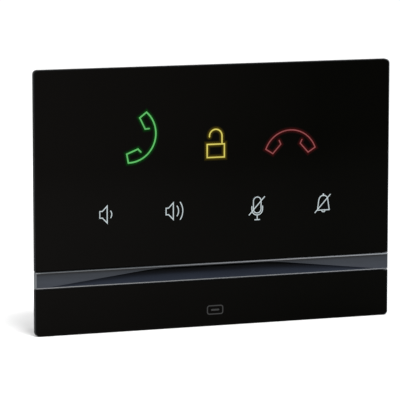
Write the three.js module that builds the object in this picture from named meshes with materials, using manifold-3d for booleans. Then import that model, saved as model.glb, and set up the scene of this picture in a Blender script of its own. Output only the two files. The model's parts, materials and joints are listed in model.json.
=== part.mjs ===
// Wall-mounted intercom answering unit: a black glass front with a smoked light strip across it,
// a moulded housing behind, and a steel wall plate that the housing hangs on.
// Millimetres. X runs to the right, Y runs into the wall, Z runs up. The wall is the plane y = 0,
// and the origin is the middle of the wall plate's rear face. A front face has the lower y.

import * as THREE from 'three';
import { mergeVertices } from 'three/addons/utils/BufferGeometryUtils.js';
import Module from 'manifold-3d';

const wasm = await Module();
wasm.setup();

// ---- Driving dimensions ----

const PANEL_WIDTH = 170; // glass front, left to right
const PANEL_HEIGHT = 119; // glass front, bottom to top
const DEPTH = 25; // wall to glass front
const GLASS_THICKNESS = 3;
const PANEL_CORNER = 2; // radius of the four outer corners
const ARRIS = 0.4; // ground bevel on every glass edge
const SEAM = 0.2; // joint line between the strip and each glass
const GAP = 0.3; // clearance between neighbouring parts

const STRIP_TOP = -30.3;
const STRIP_BOTTOM = -38.2;
const SCOOP_HALF_TOP = 28; // half width of the scoop where its slanting sides meet its top lip
const SCOOP_HALF_BOTTOM = 84; // and at the bottom edge, where it runs out to nothing
const SCOOP_ROUND = 8; // how far the corner at the lip is rounded, to each side of it
const SCOOP_DEPTH = 2.2; // depth of the scoop under its top lip, nothing at the bottom
const SCOOP_LIP = 0.9; // flush rib left along the top edge, above the scoop
const SOUND_SLOT = { halfWidth: 20, height: 1 };
const TONGUE = { halfWidth: 66, depth: 2 }; // back of the strip, let into the frame

const BODY_WIDTH = 150; // housing behind the glass
const BODY_HEIGHT = 100;
const BODY_CORNER = 4;
const WALL = 2;

const HOOK = { x: 48, width: 8, rise: 4.5, thickness: 1.5 };
const HOOK_LEVELS = [24, -30];
const LIFT = 6; // the unit rises this far to come off its hooks

// Planes across the depth, front to back.
const FRONT = -DEPTH;
const GLASS_BACK = FRONT + GLASS_THICKNESS;
const FILM_FRONT = GLASS_BACK + GAP;
const FILM_BACK = FILM_FRONT + 0.4;
const FRAME_FRONT = FILM_BACK + GAP;
const FRAME_PLATE_BACK = FRAME_FRONT + 1.5;
const FRAME_BACK = FRAME_FRONT + 5;
const COVER_FRONT = FRAME_BACK + GAP;
const COVER_BACK = -0.5;
const FLOOR_FRONT = -6;
const FLOOR_BACK = -4;
const PLATE_THICKNESS = 1.5;
const BOARD_BACK = -13.5;
const BOARD_FRONT = BOARD_BACK - 1.6;
const PARTS_FRONT = BOARD_BACK + GAP; // where the main board's components start

// The window behind the touch symbols, and one light well for each symbol.
const WINDOW = { halfWidth: 58, bottom: -14, top: 42 };
const SYMBOLS = [
  { name: 'answer', x: -35.8, z: 27.8, width: 19, height: 27 },
  { name: 'unlock', x: 0.2, z: 23.4, width: 14, height: 20 },
  { name: 'hang_up', x: 36.4, z: 23, width: 29, height: 16 },
  { name: 'quieter', x: -52, z: -6.5, width: 10.5, height: 13.5 },
  { name: 'louder', x: -20, z: -6.5, width: 12, height: 13.5 },
  { name: 'mute_microphone', x: 20, z: -6.5, width: 12, height: 13.5 },
  { name: 'mute_bell', x: 52, z: -6.5, width: 10.5, height: 13.5 },
];

const SPEAKER = { x: 0, z: -31.8, radius: 14.5 };
const BAY = { halfWidth: 27, bottom: 4, top: 32, wall: 1.5 }; // cable bay in the housing's back
const BOARD = { halfWidth: 70, bottom: -13, top: 34 };
const COVER_SCREWS = [[-66, 41], [66, 41], [-66, -41], [66, -41]];
const BOARD_SCREWS = [[-66, 29], [66, 29], [-66, -8], [66, -8]];
const SIDES = { hole: 12, round: 24 }; // sides of a small hole and of a larger round part

// ---- Materials ----

function material(color, roughness, metalness = 0) {
  return new THREE.MeshStandardMaterial({ color, roughness, metalness });
}

const blackGlass = material('#0c0c0b', 0.08);
const smokedAcrylic = material('#30353c', 0.2);
const blackPlastic = material('#1b1b1c', 0.6);
const whitePlastic = material('#e8e8e4', 0.5);
const opalFilm = material('#f2f2ee', 0.7);
const clearAcrylic = material('#dfe6ea', 0.15);
const tapeFoam = material('#202020', 0.9);
const copperFilm = material('#b98a4e', 0.5);
const boardGreen = material('#1f5a3a', 0.55);
const ledCase = material('#f0ead2', 0.4);
const galvanised = material('#b4b8bb', 0.4, 0.9);
const tinPlate = material('#c9ccce', 0.3, 0.9);
const blackSteel = material('#3a3a3c', 0.45, 0.8);
const ferrite = material('#3d3d3f', 0.7);
const paperCone = material('#2a2a2a', 0.85);
const blackRubber = material('#161616', 0.9);
const greyPlastic = material('#8a8d8f', 0.5);
const orangePlastic = material('#d86f1c', 0.5);
const capSleeve = material('#23304f', 0.4);

// ---- Solids ----

function box(left, right, front, back, bottom, top) {
  const geometry = new THREE.BoxGeometry(right - left, back - front, top - bottom);
  return geometry.translate((left + right) / 2, (front + back) / 2, (bottom + top) / 2);
}

// A rectangle in the X-Z plane, with its own radius on the bottom and the top corners.
function outline(left, right, bottom, top, bottomRadius = 0, topRadius = bottomRadius) {
  const shape = new THREE.Shape();
  const corner = (x, z, radius, start) => {
    if (radius > 0) shape.absarc(x, z, radius, start, start + Math.PI / 2, false);
    else shape.lineTo(x, z);
  };
  shape.moveTo(left + bottomRadius, bottom);
  corner(right - bottomRadius, bottom + bottomRadius, bottomRadius, -Math.PI / 2);
  corner(right - topRadius, top - topRadius, topRadius, 0);
  corner(left + topRadius, top - topRadius, topRadius, Math.PI / 2);
  if (bottomRadius > 0) corner(left + bottomRadius, bottom + bottomRadius, bottomRadius, Math.PI);
  return shape;
}

// A shape drawn in X and Z, made solid between two depths, with an optional bevel on both faces.
function slab(shape, front, back, bevel = 0, curveSegments = 3) {
  const geometry = new THREE.ExtrudeGeometry(shape, {
    depth: back - front - 2 * bevel,
    curveSegments,
    bevelEnabled: bevel > 0,
    bevelThickness: bevel,
    bevelSize: bevel,
    bevelOffset: -bevel,
    bevelSegments: 1,
  });
  return geometry.rotateX(Math.PI / 2).translate(0, back - bevel, 0);
}

// A profile drawn in Y and Z, made solid from left to right.
function prism(points, left, right) {
  const shape = new THREE.Shape(points.map(([y, z]) => new THREE.Vector2(y, z)));
  const geometry = new THREE.ExtrudeGeometry(shape, { depth: right - left, bevelEnabled: false });
  const turn = new THREE.Matrix4().makeBasis(
    new THREE.Vector3(0, 1, 0), new THREE.Vector3(0, 0, 1), new THREE.Vector3(1, 0, 0));
  return geometry.applyMatrix4(turn).translate(left, 0, 0);
}

// A profile of [radius, y] points turned about an axis along Y.
function turned(profile, x, z, sides = SIDES.round) {
  const points = profile.map(([radius, y]) => new THREE.Vector2(radius, y));
  return new THREE.LatheGeometry(points, sides).translate(x, 0, z);
}

function rod(radius, x, z, front, back, sides = SIDES.hole) {
  return turned([[0, front], [radius, front], [radius, back], [0, back]], x, z, sides);
}

function toManifold(geometry) {
  const bare = geometry.clone();
  bare.deleteAttribute('normal');
  bare.deleteAttribute('uv');
  const merged = mergeVertices(bare, 1e-4);
  return new wasm.Manifold(new wasm.Mesh({
    numProp: 3,
    vertProperties: new Float32Array(merged.attributes.position.array),
    triVerts: new Uint32Array(merged.index.array),
  }));
}

function toGeometry(solid) {
  const { vertProperties, triVerts } = solid.getMesh();
  const geometry = new THREE.BufferGeometry();
  geometry.setAttribute('position', new THREE.BufferAttribute(vertProperties, 3));
  geometry.setIndex(new THREE.BufferAttribute(triVerts, 1));
  geometry.computeVertexNormals();
  return geometry;
}

function join(...pieces) {
  return toGeometry(pieces.map(toManifold).reduce((whole, piece) => whole.add(piece)));
}

function cut(geometry, ...tools) {
  return toGeometry(tools.map(toManifold).reduce((rest, tool) => rest.subtract(tool), toManifold(geometry)));
}

function common(first, second) {
  return toGeometry(toManifold(first).intersect(toManifold(second)));
}

// ---- Assembly ----

const assembly = new THREE.Group();
const unit = new THREE.Group(); // everything that lifts off the wall plate
assembly.add(unit);

function add(name, geometry, finish, parent = unit) {
  const mesh = new THREE.Mesh(geometry, finish);
  mesh.name = name;
  parent.add(mesh);
}

// ---- Glass front ----

const halfWidth = PANEL_WIDTH / 2;
const halfHeight = PANEL_HEIGHT / 2;

const upperOutline = outline(-halfWidth, halfWidth, STRIP_TOP, halfHeight, 0, PANEL_CORNER);
add('upper_glass', slab(upperOutline, FRONT, GLASS_BACK, ARRIS, 6), blackGlass);

const lowerOutline = outline(-halfWidth, halfWidth, -halfHeight, STRIP_BOTTOM, PANEL_CORNER, 0);
add('lower_glass', slab(lowerOutline, FRONT, GLASS_BACK, ARRIS, 6), blackGlass);

// The scoop is a ramp that starts flush at the strip's bottom edge and sinks towards the top,
// between two long slanting sides and under a thin flush lip. The sound slot is at its deepest
// place.
function scoop(bottom, top) {
  const lip = top - SCOOP_LIP;
  const slope = (lip - bottom) / (SCOOP_HALF_BOTTOM - SCOOP_HALF_TOP);
  const outer = SCOOP_HALF_TOP + SCOOP_ROUND;
  const inner = SCOOP_HALF_TOP - SCOOP_ROUND;
  const foot = lip - SCOOP_ROUND * slope;
  const sides = new THREE.Shape();
  sides.moveTo(-SCOOP_HALF_BOTTOM, bottom - 1);
  sides.lineTo(SCOOP_HALF_BOTTOM, bottom - 1);
  sides.lineTo(SCOOP_HALF_BOTTOM, bottom);
  sides.lineTo(outer, foot);
  sides.quadraticCurveTo(SCOOP_HALF_TOP, lip, inner, lip);
  sides.lineTo(-inner, lip);
  sides.quadraticCurveTo(-SCOOP_HALF_TOP, lip, -outer, foot);
  sides.lineTo(-SCOOP_HALF_BOTTOM, bottom);
  const ramp = prism([[FRONT - 1, bottom], [FRONT, bottom], [FRONT + SCOOP_DEPTH, lip],
    [FRONT - 1, lip]], -halfWidth, halfWidth);
  return common(slab(sides, FRONT - 2, FRONT + 4, 0, 8), ramp);
}

function lightStrip() {
  const bottom = STRIP_BOTTOM + SEAM;
  const top = STRIP_TOP - SEAM;
  const bar = box(-halfWidth, halfWidth, FRONT, GLASS_BACK, bottom, top);
  const tongue = box(-TONGUE.halfWidth, TONGUE.halfWidth, GLASS_BACK - 1, GLASS_BACK + TONGUE.depth,
    bottom, top);
  const slot = box(-SOUND_SLOT.halfWidth, SOUND_SLOT.halfWidth, FRONT - 1, FRAME_PLATE_BACK,
    top - SCOOP_LIP - SOUND_SLOT.height, top - SCOOP_LIP);
  return cut(join(bar, tongue), scoop(bottom, top), slot);
}
add('light_strip', lightStrip(), smokedAcrylic);

// ---- Behind the glass: bonding tape, touch film, diffuser and light box ----

const bodyLeft = -BODY_WIDTH / 2;
const bodyTop = BODY_HEIGHT / 2;

function around(outer, inner, front, back) {
  return cut(slab(outer, front, back), slab(inner, front - 1, back + 1));
}

function windowOutline(margin) {
  return outline(-WINDOW.halfWidth - margin, WINDOW.halfWidth + margin,
    WINDOW.bottom - margin, WINDOW.top + margin);
}

add('upper_tape', around(outline(bodyLeft + 1, -bodyLeft - 1, STRIP_TOP + 0.5, bodyTop - 1, 0, 3),
  windowOutline(1), FILM_FRONT, FILM_BACK), tapeFoam);
add('lower_tape', slab(outline(bodyLeft + 1, -bodyLeft - 1, -bodyTop + 1, STRIP_BOTTOM - 0.5, 3, 0),
  FILM_FRONT, FILM_BACK), tapeFoam);
add('touch_film', slab(windowOutline(-GAP), FILM_FRONT, FILM_BACK), copperFilm);
add('diffuser_sheet', slab(windowOutline(-GAP), FRAME_FRONT, FRAME_FRONT + 0.4), opalFilm);

const LIGHT_BOX_FRONT = FRAME_FRONT + 0.4 + GAP;
const FLANGE_FRONT = FRAME_PLATE_BACK + GAP;
const LIGHT_BOX_BACK = FLANGE_FRONT + 1.3;
const TOUCH_BOARD_FRONT = LIGHT_BOX_BACK + GAP;
const TOUCH_BOARD_BACK = TOUCH_BOARD_FRONT + 1.2;
const FLANGE = 2.5; // the light box is this much wider than its window, all round
const stakes = [-1, 1].flatMap((side) => [WINDOW.bottom - 1.2, WINDOW.top + 1.2]
  .map((z) => [side * (WINDOW.halfWidth + 1.2), z]));

function lightBox() {
  const raised = slab(windowOutline(-GAP), LIGHT_BOX_FRONT, LIGHT_BOX_BACK - 0.5);
  const flange = slab(windowOutline(FLANGE), FLANGE_FRONT, LIGHT_BOX_BACK);
  const pins = stakes.map(([x, z]) => rod(0.9, x, z, FLANGE_FRONT + 0.5, TOUCH_BOARD_BACK + 0.5));
  const wells = SYMBOLS.map(({ x, z, width, height }) => box(x - width / 2, x + width / 2,
    LIGHT_BOX_FRONT - 1, LIGHT_BOX_BACK + 1, z - height / 2, z + height / 2));
  return cut(join(raised, flange, ...pins), ...wells);
}
add('light_box', lightBox(), whitePlastic);

add('touch_board', cut(slab(windowOutline(FLANGE), TOUCH_BOARD_FRONT, TOUCH_BOARD_BACK),
  ...stakes.map(([x, z]) => rod(0.9 + GAP, x, z, TOUCH_BOARD_FRONT - 1, TOUCH_BOARD_BACK + 1))),
boardGreen);

function ledCaseAt(x, z, back) {
  return box(x - 1.5, x + 1.5, back - 0.8, back, z - 1, z + 1);
}

for (const { name, x, z } of SYMBOLS) {
  add(`led_${name}`, ledCaseAt(x, z, TOUCH_BOARD_FRONT - GAP), ledCase);
}

add('board_connector', box(-8, 8, TOUCH_BOARD_BACK + GAP, BOARD_FRONT - GAP, -10, -6), blackPlastic);

// ---- Light strip lighting ----

const GUIDE = { inner: 18, outer: 62, bottom: STRIP_BOTTOM + 0.4, top: STRIP_TOP - 1.9 };
const GUIDE_FRONT = GLASS_BACK + TONGUE.depth + GAP;
const GUIDE_BACK = GUIDE_FRONT + 1.5;
const STRIP_LED_BACK = GUIDE_BACK + GAP + 0.8;
const STRIP_BOARD_FRONT = STRIP_LED_BACK + GAP;

for (const [name, side] of [['left', -1], ['right', 1]]) {
  const span = (inner, outer, front, back) => box(Math.min(side * inner, side * outer),
    Math.max(side * inner, side * outer), front, back, GUIDE.bottom, GUIDE.top);
  add(`strip_guide_${name}`, span(GUIDE.inner, GUIDE.outer, GUIDE_FRONT, GUIDE_BACK), clearAcrylic);
  add(`strip_board_${name}`, span(GUIDE.inner + 4, GUIDE.outer - 4, STRIP_BOARD_FRONT,
    STRIP_BOARD_FRONT + 1), boardGreen);
  [28, 50].forEach((x, index) => add(`strip_led_${name}_${index + 1}`,
    ledCaseAt(side * x, (GUIDE.bottom + GUIDE.top) / 2, STRIP_LED_BACK), ledCase));
}

// ---- Front frame ----

const LIP = { thickness: 1, height: 2.2 }; // stands inside the rear cover and closes the joint

function bodyOutline(inset) {
  return outline(bodyLeft + inset, -bodyLeft - inset, inset - bodyTop, bodyTop - inset,
    BODY_CORNER - Math.min(inset, BODY_CORNER - 1));
}

function frontFrame() {
  const outer = bodyOutline(0);
  const inner = bodyOutline(WALL);
  const lip = around(bodyOutline(WALL + GAP), bodyOutline(WALL + GAP + LIP.thickness),
    FRAME_BACK - 1, FRAME_BACK + LIP.height);
  const root = around(bodyOutline(WALL - 0.5), bodyOutline(WALL + GAP + LIP.thickness),
    FRAME_PLATE_BACK - 0.5, FRAME_BACK);
  const tray = cut(slab(outer, FRAME_FRONT, FRAME_BACK, 0, 6),
    slab(inner, FRAME_PLATE_BACK, FRAME_BACK + 1, 0, 6));
  const bosses = [
    ...COVER_SCREWS.map(([x, z]) => rod(3.5, x, z, FRAME_PLATE_BACK - 0.5, FRAME_BACK)),
    ...BOARD_SCREWS.map(([x, z]) => rod(3, x, z, FRAME_PLATE_BACK - 0.5, BOARD_FRONT - GAP)),
  ];
  const holes = [
    slab(windowOutline(0), FRAME_FRONT - 1, FRAME_PLATE_BACK + 1),
    box(-TONGUE.halfWidth - GAP, TONGUE.halfWidth + GAP, FRAME_FRONT - 1, FRAME_PLATE_BACK + 0.5,
      STRIP_BOTTOM, STRIP_TOP),
    rod(11.5, SPEAKER.x, SPEAKER.z, FRAME_FRONT - 1, FRAME_PLATE_BACK + 1, SIDES.round),
    ...COVER_SCREWS.map(([x, z]) => rod(1.7, x, z, FRAME_PLATE_BACK + 0.5, FRAME_BACK + 1)),
    ...BOARD_SCREWS.map(([x, z]) => rod(1.3, x, z, FRAME_PLATE_BACK + 0.5, BOARD_FRONT)),
  ];
  return cut(join(tray, root, lip, ...bosses), ...holes);
}
add('front_frame', frontFrame(), blackPlastic);

// ---- Loudspeaker ----

const GASKET_FRONT = FRAME_PLATE_BACK + GAP;
const RIM_FRONT = GASKET_FRONT + 1.4 + GAP;
const { x: speakerX, z: speakerZ, radius: speakerRadius } = SPEAKER;

add('speaker_gasket', turned([[12, GASKET_FRONT], [speakerRadius, GASKET_FRONT],
  [speakerRadius, GASKET_FRONT + 1.4], [12, GASKET_FRONT + 1.4], [12, GASKET_FRONT]],
speakerX, speakerZ), tapeFoam);

add('speaker_basket', turned([[12.8, RIM_FRONT], [speakerRadius, RIM_FRONT],
  [speakerRadius, RIM_FRONT + 1.2], [13.6, RIM_FRONT + 1.2], [9.5, RIM_FRONT + 6.4],
  [5.8, RIM_FRONT + 6.4], [5.8, RIM_FRONT + 5.6], [9, RIM_FRONT + 5.6], [12.8, RIM_FRONT + 0.8],
  [12.8, RIM_FRONT]], speakerX, speakerZ), blackSteel);

// Roll surround, paper cone, dust cap and voice coil move as one.
add('speaker_cone', turned([[0, RIM_FRONT + 2.6], [2.6, RIM_FRONT + 2.9], [4.6, RIM_FRONT + 3.8],
  [9.8, RIM_FRONT + 1], [10.9, RIM_FRONT + 0.4], [11.8, RIM_FRONT + 0.9], [11.6, RIM_FRONT + 1.1],
  [10.9, RIM_FRONT + 0.8], [10, RIM_FRONT + 1.5], [5, RIM_FRONT + 4.3], [5, RIM_FRONT + 6],
  [4.6, RIM_FRONT + 6], [4.6, RIM_FRONT + 4.3], [2.5, RIM_FRONT + 3.4], [0, RIM_FRONT + 3.1]],
speakerX, speakerZ), paperCone);

add('speaker_magnet', turned([[0, RIM_FRONT + 5], [4.1, RIM_FRONT + 5], [4.1, RIM_FRONT + 6.7],
  [9, RIM_FRONT + 6.7], [9, RIM_FRONT + 10.7], [0, RIM_FRONT + 10.7]], speakerX, speakerZ),
tinPlate);

// ---- Main board and its components ----

add('main_board', cut(box(-BOARD.halfWidth, BOARD.halfWidth, BOARD_FRONT, BOARD_BACK,
  BOARD.bottom, BOARD.top), ...BOARD_SCREWS.map(([x, z]) => rod(1.3, x, z, BOARD_FRONT - 1,
  BOARD_BACK + 1))), boardGreen);

function component(x, z, width, height, tall) {
  return box(x - width / 2, x + width / 2, PARTS_FRONT, PARTS_FRONT + tall, z - height / 2, z + height / 2);
}

add('poe_transformer', component(-36, -2, 13, 14, 6.5), ferrite);
add('capacitor_1', rod(3.5, -37, 14, PARTS_FRONT, PARTS_FRONT + 6.6, SIDES.round), capSleeve);
add('capacitor_2', rod(3.5, -37, 24, PARTS_FRONT, PARTS_FRONT + 6.6, SIDES.round), capSleeve);
add('power_inductor', component(-58, 0, 8, 8, 4), ferrite);
add('shield_can', component(46, 2, 28, 20, 2.4), tinPlate);
add('audio_amplifier', component(38, 24, 7, 6, 1.2), blackPlastic);

// The network socket opens to the right, into the free half of the cable bay.
const SOCKET = { left: -26.7, right: -6.7, bottom: 4.5, top: 20.5, back: -2.2 };

function networkSocket() {
  const { left, right, bottom, top, back } = SOCKET;
  const middle = (bottom + top) / 2;
  const mouth = box(right - 14, right + 1, PARTS_FRONT + 1.2, back - 3, middle - 5.9, middle + 5.9);
  const latch = box(right - 14, right + 1, back - 4, back - 1.2, middle - 3, middle + 3);
  return cut(box(left, right, PARTS_FRONT, back, bottom, top), mouth, latch);
}
add('network_socket', networkSocket(), tinPlate);

// Four-way spring terminal for the 12 V supply and the door bell push, one release per wire.
const TERMINAL = { left: 8.5, right: 26.5, bottom: 22.5, top: 31.5, back: -5 };
const RELEASE_TRAVEL = 1;
const releaseX = [0, 1, 2, 3].map((index) => TERMINAL.left + 2.4 + index * 4.4);
const releaseZ = 28.5;

function terminalBlock() {
  const { left, right, bottom, top, back } = TERMINAL;
  const body = box(left, right, PARTS_FRONT, back, bottom, top);
  const pockets = releaseX.map((x) => box(x - 1.6, x + 1.6, back - 4.2, back + 1,
    releaseZ - 1.8, releaseZ + 1.8));
  const wireHoles = releaseX.map((x) => box(x - 1, x + 1, PARTS_FRONT + 2.5, PARTS_FRONT + 5,
    bottom - 1, bottom + 3.6));
  return cut(body, ...pockets, ...wireHoles);
}
add('terminal_block', terminalBlock(), greyPlastic);

releaseX.forEach((x, index) => add(`terminal_release_${index + 1}`,
  box(x - 1.3, x + 1.3, TERMINAL.back - 4.2 + RELEASE_TRAVEL + GAP, TERMINAL.back + 1.4,
    releaseZ - 1.5, releaseZ + 1.5), orangePlastic));

const RESET = { x: -19, z: 26.5, half: 3, back: PARTS_FRONT + 3.4, travel: 0.4 };

add('reset_switch', cut(box(RESET.x - RESET.half, RESET.x + RESET.half, PARTS_FRONT, RESET.back,
  RESET.z - RESET.half, RESET.z + RESET.half),
rod(1.9, RESET.x, RESET.z, RESET.back - 1.6, RESET.back + 1)), blackPlastic);
add('reset_button', rod(1.6, RESET.x, RESET.z, RESET.back - 1.6 + RESET.travel + GAP, RESET.back + 2),
  greyPlastic);

// ---- Microphone, in a rubber boot over a port in the housing's underside ----

const MICROPHONE = { x: -50, y: -9.9 };
const insideBottom = -bodyTop + WALL;

function standing(profile) {
  const geometry = turned(profile, 0, 0).rotateX(Math.PI / 2);
  return geometry.translate(MICROPHONE.x, MICROPHONE.y, insideBottom + GAP);
}
add('microphone_boot', standing([[0.9, 0], [3.6, 0], [3.6, 4.2], [3, 4.2], [3, 1.2], [0.9, 1.2],
  [0.9, 0]]), blackRubber);
add('microphone', standing([[0, 1.5], [2.7, 1.5], [2.7, 4], [0, 4]]), tinPlate);

// ---- Rear cover ----

const COUNTERBORE = { radius: 3.1, seat: FLOOR_FRONT - 2 };

function hookSlot(side, level) {
  const half = HOOK.width / 2 + 0.5;
  return box(side * HOOK.x - half, side * HOOK.x + half, FLOOR_FRONT - 1, FLOOR_BACK + 1,
    level - LIFT - 0.7, level + HOOK.thickness + GAP);
}

function rearCover() {
  const inner = bodyOutline(WALL);
  const shell = cut(slab(bodyOutline(0), COVER_FRONT, COVER_BACK, 0, 6),
    slab(inner, COVER_FRONT - 1, FLOOR_FRONT, 0, 6), slab(inner, FLOOR_BACK, COVER_BACK + 1, 0, 6));
  const bayOutline = (margin) => outline(-BAY.halfWidth - margin, BAY.halfWidth + margin,
    BAY.bottom - margin, BAY.top + margin);
  const well = slab(bayOutline(BAY.wall), PARTS_FRONT, FLOOR_FRONT + 0.5);
  const posts = COVER_SCREWS.map(([x, z]) => rod(5, x, z, COVER_FRONT, FLOOR_FRONT + 0.5));
  const vent = (x, z) => box(x - 5, x + 5, -11.3, -9.7, z - WALL, z + WALL);
  const vents = [-32, -16, 0, 16, 32].flatMap((x) => [vent(x, bodyTop - 1), vent(x, 1 - bodyTop)]);
  const micPort = new THREE.CylinderGeometry(0.8, 0.8, 4, SIDES.hole).rotateX(Math.PI / 2)
    .translate(MICROPHONE.x, MICROPHONE.y, insideBottom - 1);
  return cut(join(shell, well, ...posts),
    slab(bayOutline(0), PARTS_FRONT - 1, FLOOR_BACK + 1),
    ...COVER_SCREWS.map(([x, z]) => rod(1.7, x, z, COVER_FRONT - 1, FLOOR_BACK + 1)),
    ...COVER_SCREWS.map(([x, z]) => rod(COUNTERBORE.radius, x, z, COUNTERBORE.seat, FLOOR_BACK + 1)),
    ...HOOK_LEVELS.flatMap((level) => [hookSlot(-1, level), hookSlot(1, level)]),
    ...vents, micPort);
}
add('rear_cover', rearCover(), blackPlastic);

// ---- Screws: pan heads that face the wall, with a cross recess ----

function screw(x, z, seat, length, shankRadius, headRadius, headHeight) {
  const front = seat - length;
  const body = turned([[0, front], [shankRadius * 0.6, front], [shankRadius, front + 1],
    [shankRadius, seat + GAP], [headRadius, seat + GAP], [headRadius, seat + headHeight * 0.7],
    [headRadius * 0.7, seat + headHeight], [0, seat + headHeight]], x, z, SIDES.hole);
  const arm = headRadius * 0.55;
  const recess = (halfX, halfZ) => box(x - halfX, x + halfX, seat + headHeight - 0.8,
    seat + headHeight + 1, z - halfZ, z + halfZ);
  return cut(body, recess(arm, 0.3), recess(0.3, arm));
}

COVER_SCREWS.forEach(([x, z], index) => add(`cover_screw_${index + 1}`,
  screw(x, z, COUNTERBORE.seat, 10.5, 1.4, 2.75, 2), blackSteel));
BOARD_SCREWS.forEach(([x, z], index) => add(`board_screw_${index + 1}`,
  screw(x, z, BOARD_BACK, 4.8, 1, 2.2, 1.6), galvanised));

// ---- Wall plate: pressed steel, with four hooks turned up out of it ----

const PLATE = { halfWidth: 60, halfHeight: 40, corner: 4 };

function hookProfile(level) {
  const tip = FLOOR_FRONT - 0.4 - HOOK.thickness;
  const top = level + HOOK.thickness + HOOK.rise;
  return [[-PLATE_THICKNESS / 2, level], [-PLATE_THICKNESS / 2, level + HOOK.thickness],
    [tip + HOOK.thickness, level + HOOK.thickness], [tip + HOOK.thickness, top], [tip, top],
    [tip, level]];
}

function wallPlate() {
  const sheet = slab(outline(-PLATE.halfWidth, PLATE.halfWidth, -PLATE.halfHeight, PLATE.halfHeight,
    PLATE.corner), -PLATE_THICKNESS, 0);
  const hooks = [-1, 1].flatMap((side) => HOOK_LEVELS.map((level) => prism(hookProfile(level),
    side * HOOK.x - HOOK.width / 2, side * HOOK.x + HOOK.width / 2)));
  const through = (shape) => slab(shape, -PLATE_THICKNESS - 1, 1);
  const punched = [-1, 1].flatMap((side) => HOOK_LEVELS.map((level) => through(outline(
    side * HOOK.x - HOOK.width / 2, side * HOOK.x + HOOK.width / 2,
    level + HOOK.thickness, level + HOOK.thickness + HOOK.rise + 1.5))));
  const opening = through(outline(1 - BAY.halfWidth, BAY.halfWidth - 1, BAY.bottom, BAY.top, 2));
  const boxSlots = [-30, 30].map((x) => through(outline(x - 2, x + 2, 14, 22, 1.9)));
  const wallSlots = [-54, 54].flatMap((x) => [-34, 35].map((z) => through(
    outline(x - 4, x + 4, z - 2, z + 2, 1.9))));
  return join(cut(sheet, ...punched, opening, ...boxSlots, ...wallSlots), ...hooks);
}
add('wall_plate', wallPlate(), galvanised, assembly);

export default assembly;
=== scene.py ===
# %% [markdown]
# # A glass intercom panel, made around its CAD frame
# The object is an indoor answering unit for a door intercom. A tempered glass front, printed black
# on its back, carries lit touch symbols. A smoked acrylic bar crosses it, with a shallow scoop
# between two long slanting sides, where the sound comes out. Behind the glass is a moulded
# housing, and the housing hangs on four hooks of a zinc-plated wall plate.
#
# The CAD model gives every place and size. This lesson turns it into something worth looking at:
# glass with ground edges, light windows, moulded plastic with a real grain, and metal.

# %% Load the frame
import json
import math

import bmesh
import bpy
from mathutils import Matrix, Vector


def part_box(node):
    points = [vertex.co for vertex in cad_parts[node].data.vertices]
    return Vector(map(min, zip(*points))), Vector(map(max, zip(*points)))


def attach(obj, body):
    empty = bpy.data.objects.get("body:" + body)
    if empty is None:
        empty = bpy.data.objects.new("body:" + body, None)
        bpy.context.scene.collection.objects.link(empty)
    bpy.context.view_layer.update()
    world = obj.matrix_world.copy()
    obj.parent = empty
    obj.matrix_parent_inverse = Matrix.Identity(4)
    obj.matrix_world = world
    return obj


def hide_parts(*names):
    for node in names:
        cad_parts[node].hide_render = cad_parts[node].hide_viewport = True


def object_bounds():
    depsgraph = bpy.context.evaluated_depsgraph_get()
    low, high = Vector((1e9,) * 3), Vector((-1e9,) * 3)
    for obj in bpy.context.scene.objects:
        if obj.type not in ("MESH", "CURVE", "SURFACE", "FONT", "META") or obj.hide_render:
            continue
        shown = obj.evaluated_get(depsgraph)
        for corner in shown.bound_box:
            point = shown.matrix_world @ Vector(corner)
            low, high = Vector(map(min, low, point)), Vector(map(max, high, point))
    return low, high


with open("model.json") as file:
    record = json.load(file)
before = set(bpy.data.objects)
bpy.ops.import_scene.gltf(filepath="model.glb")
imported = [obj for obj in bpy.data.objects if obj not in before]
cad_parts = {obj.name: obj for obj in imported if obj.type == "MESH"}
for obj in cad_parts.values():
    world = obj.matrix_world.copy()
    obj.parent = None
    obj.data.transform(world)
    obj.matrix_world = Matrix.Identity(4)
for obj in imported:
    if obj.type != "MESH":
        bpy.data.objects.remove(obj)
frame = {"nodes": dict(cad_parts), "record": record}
cad_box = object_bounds()
MM = 0.001
print("CAD box, mm:", [[round(v / MM, 1) for v in corner] for corner in cad_box])

# %% [markdown]
# ## Colours
# A shader wants linear light, while a colour that someone picks by eye is an sRGB value. One
# function turns a hex value into the linear one, so every colour below can be written the way a
# paint chart would write it.

# %% One function for colours
def linear(hex_colour):
    """An sRGB hex value, such as "1b1b1c", as the linear RGBA that a shader socket takes."""
    channels = [int(hex_colour[i:i + 2], 16) / 255 for i in (0, 2, 4)]
    return [c / 12.92 if c <= 0.04045 else ((c + 0.055) / 1.055) ** 2.4 for c in channels] + [1.0]


print("mid grey in linear light:", round(linear("808080")[0], 3))

# %% [markdown]
# ## Nodes
# A material is a small graph. One helper adds any kind of node, sets what is fixed and links what
# comes from another node. Numbers that are the same all over a surface go straight onto the
# shader's own sockets, because that is how they survive an export.

# %% Two helpers for materials
def add(tree, kind, inputs=None, **settings):
    """A new node of that kind. An input is given a value, or the output socket that feeds it."""
    node = tree.nodes.new("ShaderNode" + kind)
    for name, value in settings.items():
        setattr(node, name, value)
    for name, value in (inputs or {}).items():
        if isinstance(value, bpy.types.NodeSocket):
            tree.links.new(value, node.inputs[name])
        else:
            node.inputs[name].default_value = value
    return node


def new_material(name, colour, roughness, **sockets):
    """A material with its fixed values set. Returns it, its node tree and its shader node."""
    material = bpy.data.materials.new(name)
    material.use_nodes = True
    shader = material.node_tree.nodes["Principled BSDF"]
    shader.inputs["Base Color"].default_value = linear(colour)
    shader.inputs["Roughness"].default_value = roughness
    for socket, value in sockets.items():
        shader.inputs[socket.replace("_", " ")].default_value = value
    return material, material.node_tree, shader


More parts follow.
